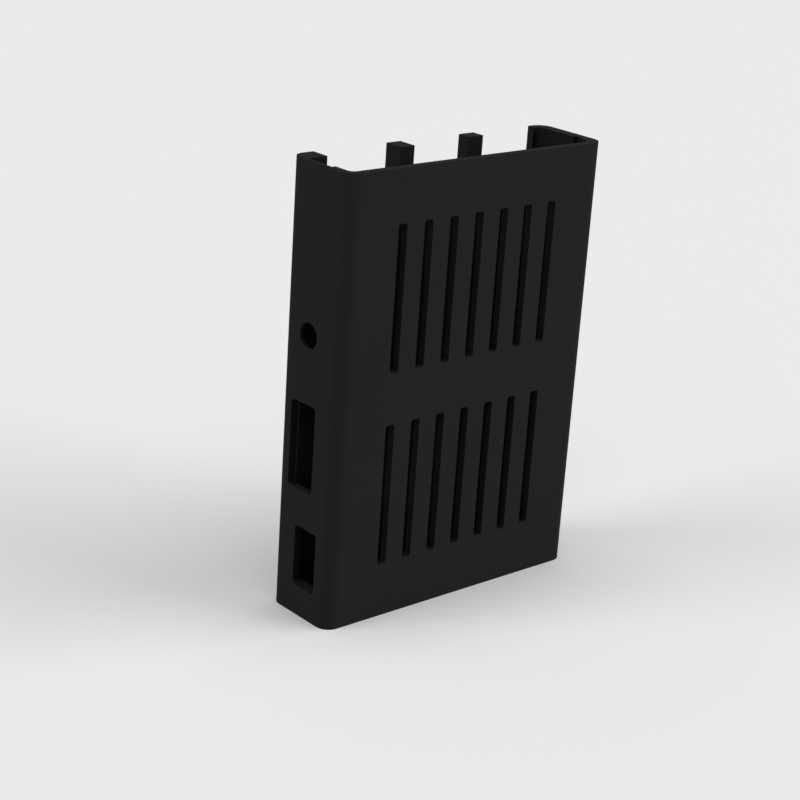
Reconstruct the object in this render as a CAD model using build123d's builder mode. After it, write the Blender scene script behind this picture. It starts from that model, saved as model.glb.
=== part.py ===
# Sleeve case for a credit-card-size single-board computer
# One moulded shell that stands on its card end. The board slides in from the open top end.
# X is the width (port wall at -X), Y the depth (vented panel at -Y, back panel at +Y), Z up.
# The origin is the middle of the card end, on the surface that the case stands on.
# All sizes are millimetres.
import os

from build123d import *

# The board and the room it needs
board_length = 85.0
board_width = 56.0
board_thickness = 1.5
board_play = 0.25  # looseness of the board in its groove
solder_gap = 2.65  # free height under the board
port_side_gap = 1.85  # from the board's port edge to the port wall
groove_clearance = 0.55  # from the board's far edge to the floor of the groove
board_stand_out = 0.2  # the board's end reaches this far past the open end

# Free height above the board: over the ports, past the middle, over the pin header
low_room = 6.8
middle_room = 8.05
header_room = 9.3

# Shell
wall = 1.55
end_wall = 1.3
corner_radius = 2.7
groove_depth = 0.75
guide_thickness = 0.85  # pad beside the board's corner at the card end

# Openings in the port wall, placed along the board and above its top face
power_at = 10.6
power_length = 11.9
power_height = 6.25
power_above_board = 1.28
video_at = 32.15
video_length = 16.85
video_height = 7.0
video_above_board = 3.7
opening_radius = 0.7
audio_at = 53.5
audio_hole = 4.9
audio_above_board = 3.25

# Relief in the port wall that lets the audio socket slide past
audio_socket_width = 7.0
relief_clearance = 0.3
relief_depth = 0.8

# Notches in the back panel for the tall ports, placed from the board's port edge
network_at = 10.1
network_notch_width = 16.8
network_notch_depth = 19.0
peripheral_at = (29.0, 47.0)
peripheral_notch_width = 14.35
peripheral_notch_depth = 14.6

# Ventilation slots in the front panel, two rows
vents_per_row = 7
vent_rows = 2
vent_width = 2.0
vent_length = 27.65
vent_pitch = 6.04
vent_row_gap = 10.0
vent_start = 10.75
vent_radius = 0.5

# Slot in the card end for the memory card
card_at = 28.0
card_slot_width = 13.0

# Overall size
groove_width = board_thickness + board_play
case_width = wall + port_side_gap + board_width + groove_clearance + wall
case_depth = wall + solder_gap + groove_width + header_room + wall
case_height = end_wall + board_length - board_stand_out

# Planes of the inside, from the port wall to the far wall and from front to back
room_left = -case_width / 2 + wall
room_right = case_width / 2 - wall - groove_depth
room_front = -case_depth / 2 + wall
room_back = case_depth / 2 - wall
board_left = room_left + port_side_gap
board_under = room_front + solder_gap
board_top = board_under + groove_width
low_roof = board_top + low_room
middle_roof = board_top + middle_room
inner_radius = corner_radius - wall

# Places of the openings
power_z = end_wall + power_at
video_z = end_wall + video_at
audio_z = end_wall + audio_at
guide_top = power_z - power_length / 2
relief_bottom = audio_z - audio_socket_width / 2 - relief_clearance
network_x = board_left + network_at
peripheral_x = [board_left + at for at in peripheral_at]
card_x = board_left + card_at
vent_middle = vent_start + vent_length + vent_row_gap / 2


def cut_room():
    """Cross-section of the inside, the same all the way up the case."""
    with Locations(((room_left + room_right) / 2, 0)):
        RectangleRounded(room_right - room_left, room_back - room_front, inner_radius)

    # The back panel is thicker over the low ports and steps back towards the pin header
    with Locations((room_left, room_back)):
        for port_x, roof in zip(peripheral_x, (low_roof, middle_roof)):
            step_width = port_x - peripheral_notch_width / 2 - room_left
            step_height = room_back - roof
            Rectangle(step_width, step_height, align=(Align.MIN, Align.MAX), mode=Mode.SUBTRACT)

    # Groove that holds the board's far edge
    with Locations((room_right, board_under)):
        Rectangle(groove_depth, groove_width, align=Align.MIN)


def port_openings():
    """Power, video and audio openings, drawn on the port wall: Y across, Z up."""
    with Locations((board_top + power_above_board, power_z)):
        RectangleRounded(power_height, power_length, opening_radius)
    with Locations((board_top + video_above_board, video_z)):
        RectangleRounded(video_height, video_length, opening_radius)
    with Locations((board_top + audio_above_board, audio_z)):
        Circle(audio_hole / 2)


def port_notches():
    """Notches for the network port and the two peripheral ports: X across, Z up."""
    with Locations((network_x, case_height)):
        Rectangle(network_notch_width, network_notch_depth, align=(Align.CENTER, Align.MAX))
    with Locations(*[(x, case_height) for x in peripheral_x]):
        Rectangle(peripheral_notch_width, peripheral_notch_depth, align=(Align.CENTER, Align.MAX))


with BuildPart() as case_body:
    with BuildSketch(Plane.XY):
        RectangleRounded(case_width, case_depth, corner_radius)
    extrude(amount=case_height)

    with BuildSketch(Plane.XY.offset(end_wall)):
        cut_room()
    extrude(amount=case_height - end_wall, mode=Mode.SUBTRACT)

    # Pad at the card end that keeps the board's corner off the port wall
    with BuildSketch(Plane.XY.offset(end_wall)):
        with Locations((room_left, room_front)):
            Rectangle(guide_thickness, low_roof - room_front, align=Align.MIN)
    extrude(amount=guide_top - end_wall)

    # Relief for the audio socket, from just below its hole to the open end
    with BuildSketch(Plane.XY.offset(relief_bottom)):
        with Locations((room_left, board_top)):
            Rectangle(relief_depth, low_room, align=(Align.MAX, Align.MIN))
    extrude(amount=case_height - relief_bottom, mode=Mode.SUBTRACT)

    with BuildSketch(Plane.YZ.offset(-case_width / 2)):
        port_openings()
    extrude(amount=wall, mode=Mode.SUBTRACT)

    with BuildSketch(Plane.XZ.offset(-case_depth / 2)):
        port_notches()
    extrude(amount=case_depth / 2 - low_roof, mode=Mode.SUBTRACT)

    with BuildSketch(Plane.XZ.offset(case_depth / 2)):
        with Locations((0, vent_middle)):
            with GridLocations(vent_pitch, vent_length + vent_row_gap, vents_per_row, vent_rows):
                RectangleRounded(vent_width, vent_length, vent_radius)
    extrude(amount=-wall, mode=Mode.SUBTRACT)

    # Card slot, between the front panel and the underside of the board
    with BuildSketch(Plane.XY):
        with Locations((card_x, room_front)):
            Rectangle(card_slot_width, solder_gap, align=(Align.CENTER, Align.MIN))
    extrude(amount=end_wall, mode=Mode.SUBTRACT)

case_body.part.label = "case_body"

os.makedirs("parts", exist_ok=True)
export_step(case_body.part, "parts/case_body.step")
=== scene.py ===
"""Sleeve case of matte black moulded plastic, standing on its card end on a pale studio floor."""

from math import cos, pi, radians, sin

import bpy
from mathutils import Matrix, Vector


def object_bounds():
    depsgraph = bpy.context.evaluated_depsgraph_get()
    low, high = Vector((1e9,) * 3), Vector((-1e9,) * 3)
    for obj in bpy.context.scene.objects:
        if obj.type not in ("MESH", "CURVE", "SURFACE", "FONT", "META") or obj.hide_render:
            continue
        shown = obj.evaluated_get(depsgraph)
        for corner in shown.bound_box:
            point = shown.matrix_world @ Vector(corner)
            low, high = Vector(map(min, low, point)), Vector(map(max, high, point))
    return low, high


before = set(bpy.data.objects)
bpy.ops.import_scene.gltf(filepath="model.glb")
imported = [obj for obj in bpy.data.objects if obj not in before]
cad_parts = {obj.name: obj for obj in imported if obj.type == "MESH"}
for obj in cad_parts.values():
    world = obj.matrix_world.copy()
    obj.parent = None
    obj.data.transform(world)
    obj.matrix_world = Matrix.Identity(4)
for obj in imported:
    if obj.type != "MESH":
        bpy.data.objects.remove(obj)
cad_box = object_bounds()
MM = 0.001


def linear(hex_colour):
    """An sRGB hex colour as the linear RGBA that Blender's sockets take."""
    channels = [int(hex_colour[i:i + 2], 16) / 255 for i in (1, 3, 5)]
    return [c / 12.92 if c <= 0.04045 else ((c + 0.055) / 1.055) ** 2.4 for c in channels] + [1.0]


def add_node(tree, kind, settings=None, **inputs):
    """Adds one node: settings are its own properties, inputs are socket values or links."""
    node = tree.nodes.new(kind)
    for name, value in (settings or {}).items():
        setattr(node, name, value)
    for name, value in inputs.items():
        socket = node.inputs[name.replace("_", " ")]
        if isinstance(value, bpy.types.NodeSocket):
            tree.links.new(value, socket)
        else:
            socket.default_value = value
    return node


def larger_of(tree, first, second):
    """The larger of two numbers. For two tests, it is 1 where either holds."""
    larger = add_node(tree, "ShaderNodeMath", {"operation": "MAXIMUM"})
    tree.links.new(first, larger.inputs[0])
    tree.links.new(second, larger.inputs[1])
    return larger.outputs["Value"]


def blend_by(tree, share, kind, at_zero, at_one):
    """Goes from one colour or number to another as share goes from 0 to 1."""
    mix = add_node(tree, "ShaderNodeMix", {"data_type": kind}, Factor=share)
    # The Mix node keeps sockets of its own for each kind of value
    first, result = {"FLOAT": (2, 0), "RGBA": (6, 2)}[kind]
    for index, value in ((first, at_zero), (first + 1, at_one)):
        if isinstance(value, bpy.types.NodeSocket):
            tree.links.new(value, mix.inputs[index])
        else:
            mix.inputs[index].default_value = value
    return mix.outputs[result]


def core_side(tree, where):
    """1 on the faces that the core of the mould makes, inside the case, and 0 on the others.

    From an inside face, a step back through the plastic ends outside the case. Places and steps
    are counted in half widths and half depths of the case, so its outside faces are at 1.
    """
    side_step, panel_step = 3.0 * MM, 6.6 * MM
    just_outside = 1.01
    half_width, half_depth = cad_box[1][0], cad_box[1][1]
    step = add_node(tree, "ShaderNodeVectorMath", {"operation": "MULTIPLY"}, Vector=where["Normal"])
    step.inputs[1].default_value = (side_step / half_width, panel_step / half_depth, 0)
    place = add_node(tree, "ShaderNodeVectorMath", {"operation": "DIVIDE"}, Vector=where["Object"])
    place.inputs[1].default_value = (half_width, half_depth, 1)
    behind = add_node(
        tree, "ShaderNodeVectorMath", {"operation": "SUBTRACT"},
        Vector=place.outputs["Vector"],
    )
    tree.links.new(step.outputs["Vector"], behind.inputs[1])
    reach = add_node(
        tree, "ShaderNodeVectorMath", {"operation": "ABSOLUTE"},
        Vector=behind.outputs["Vector"],
    )
    axes = add_node(tree, "ShaderNodeSeparateXYZ", Vector=reach.outputs["Vector"]).outputs
    outside = add_node(tree, "ShaderNodeMath", {"operation": "GREATER_THAN"})
    tree.links.new(larger_of(tree, axes["X"], axes["Y"]), outside.inputs[0])
    outside.inputs[1].default_value = just_outside
    return outside.outputs["Value"]


def moulded_abs_black():
    """ABS, injection moulded, with a sparked texture outside and the plain steel of the core inside.

    The pigment goes all the way through, so edges are as dark as faces. The texture scatters light
    and breaks up reflections, so the outside is a soft dark grey with no mirror images. The
    smoother inside has less texture, and its deeper black is painted shade for the inside of the
    case.
    """
    material = bpy.data.materials.new("moulded_abs_black")
    material.use_nodes = True
    tree = material.node_tree
    tree.nodes.clear()
    where = add_node(tree, "ShaderNodeTexCoord").outputs
    place = where["Object"]
    core = core_side(tree, where)

    # Plastic cools unevenly behind the steps and openings, so its shade and sheen drift slowly
    drift_width = 22 * MM
    flow = add_node(
        tree, "ShaderNodeTexNoise",
        Vector=place, Scale=1 / drift_width, Detail=2.0,
    ).outputs["Fac"]

    # Sparked grain is about 0.1 mm across, drawn at 0.3 mm so that it shows
    grain_width, grain_height = 0.3 * MM, 0.02 * MM
    grain = add_node(
        tree, "ShaderNodeTexNoise",
        Vector=place, Scale=1 / grain_width, Detail=3.0, Roughness=0.6,
    ).outputs["Fac"]

    textured_colour = blend_by(tree, flow, "RGBA", linear("#1c1c1d"), linear("#202021"))
    textured_sheen = blend_by(tree, flow, "FLOAT", 0.74, 0.94)
    # Inside faces get a darker colour, which is painted shade inside the case; their smoother finish
    # and shallower grain are real
    colour = blend_by(tree, core, "RGBA", textured_colour, linear("#161617"))
    sheen = blend_by(tree, core, "FLOAT", textured_sheen, 0.65)
    depth = blend_by(tree, core, "FLOAT", 0.25, 0.05)
    relief = add_node(
        tree, "ShaderNodeBump",
        Height=grain, Strength=depth, Distance=grain_height,
    )
    plastic = add_node(
        tree, "ShaderNodeBsdfPrincipled",
        Base_Color=colour, Roughness=sheen, IOR=1.53, Specular_IOR_Level=0.03,
        Normal=relief.outputs["Normal"],
    )
    add_node(tree, "ShaderNodeOutputMaterial", Surface=plastic.outputs["BSDF"])
    return material


def finish_shell(shell, plastic):
    """Gives the moulded shell its plastic and the small radius that a mould leaves on every edge."""
    for slot in shell.material_slots:
        slot.material = plastic
    # The solid's faces come with corners of their own, which are joined so that edges can be rounded
    weld = shell.modifiers.new("weld_faces", "WELD")
    weld.merge_threshold = 0.002 * MM
    rounding = shell.modifiers.new("mould_radius", "BEVEL")
    rounding.width = 0.08 * MM
    rounding.segments = 2
    rounding.limit_method = "ANGLE"
    rounding.angle_limit = radians(45)
    rounding.harden_normals = True


def studio_floor():
    """A pale matte floor that stays pale to the camera and keeps the case's soft shadow."""
    bpy.ops.mesh.primitive_plane_add(size=8)
    floor = bpy.context.object
    floor.name = "studio_floor"
    material = bpy.data.materials.new("pale_paper_floor")
    material.use_nodes = True
    tree = material.node_tree
    tree.nodes.clear()
    paper = add_node(tree, "ShaderNodeBsdfDiffuse", Color=linear("#f0f0f0"))
    add_node(tree, "ShaderNodeOutputMaterial", Surface=paper.outputs["BSDF"])
    floor.data.materials.append(material)


def pale_background():
    """Even fill light, and a pale backdrop for the camera and for reflections."""
    world = bpy.data.worlds.new("studio")
    bpy.context.scene.world = world
    world.use_nodes = True
    tree = world.node_tree
    tree.nodes.clear()
    ray = add_node(tree, "ShaderNodeLightPath").outputs
    seen = ray["Is Camera Ray"]
    for also in ("Is Glossy Ray", "Is Transmission Ray"):
        seen = larger_of(tree, seen, ray[also])
    fill = add_node(tree, "ShaderNodeBackground", Color=linear("#ffffff"), Strength=0.222)
    backdrop = add_node(tree, "ShaderNodeBackground", Color=linear("#ebebeb"), Strength=1.0)
    both = add_node(tree, "ShaderNodeMixShader", Fac=seen)
    tree.links.new(fill.outputs["Background"], both.inputs[1])
    tree.links.new(backdrop.outputs["Background"], both.inputs[2])
    add_node(tree, "ShaderNodeOutputWorld", Surface=both.outputs["Shader"])


def far_softbox(name, side, height, width, tall, glow):
    """A large rectangular softbox far away, facing the case.

    side is its angle from the front, towards +X, in degrees. width and tall are its size as a share
    of its distance, and glow is how bright its face is, where 1 is a white page.
    """
    distance = 100
    lamp = bpy.data.lights.new(name, "AREA")
    lamp.shape = "RECTANGLE"
    lamp.size, lamp.size_y = width * distance, tall * distance
    lamp.energy = glow * pi * lamp.size * lamp.size_y
    box = bpy.data.objects.new(name, lamp)
    box.rotation_euler = (radians(90 - height), 0, radians(side))
    box.location = Vector((0, 0, distance))
    box.location.rotate(box.rotation_euler)
    box.visible_camera = False
    bpy.context.scene.collection.objects.link(box)


def product_camera():
    """Camera at the photograph's viewing angle: in front, to the left and above, tilted a little.

    Its angles are in radians, and its place in metres.
    """
    azimuth, elevation, roll, distance = -0.722703, 0.347604, 0.067420, 0.359118
    focus = Vector((-0.008786, 0, 0.038830))
    back = Vector((sin(azimuth) * cos(elevation), -cos(azimuth) * cos(elevation), sin(elevation)))
    level = (-back).cross(Vector((0, 0, 1))).normalized()
    upward = level.cross(-back)
    right = cos(roll) * level + sin(roll) * upward
    top = cos(roll) * upward - sin(roll) * level
    lens = bpy.data.cameras.new("product_camera")
    lens.sensor_width = 36
    lens.lens = 86.298
    lens.clip_start = 0.01
    camera = bpy.data.objects.new("product_camera", lens)
    turn = Matrix((right, top, back)).transposed().to_4x4()
    camera.matrix_world = Matrix.Translation(focus + back * distance) @ turn
    bpy.context.scene.collection.objects.link(camera)
    bpy.context.scene.camera = camera


product_camera()
finish_shell(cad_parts["case_body"], moulded_abs_black())
studio_floor()
pale_background()
far_softbox("right_key", side=49.4, height=20.7, width=0.96, tall=0.60, glow=4.95)
far_softbox("left_rear_rim", side=-106.5, height=40.5, width=0.48, tall=0.64, glow=2.28)
far_softbox("left_low", side=-105, height=13, width=0.60, tall=0.24, glow=5.3)
far_softbox("front_top", side=-24.7, height=53.2, width=1.04, tall=0.40, glow=1.53)
far_softbox("rear_top", side=156.7, height=80.3, width=0.62, tall=0.16, glow=5.09)

bpy.context.scene.view_settings.view_transform = "Standard"
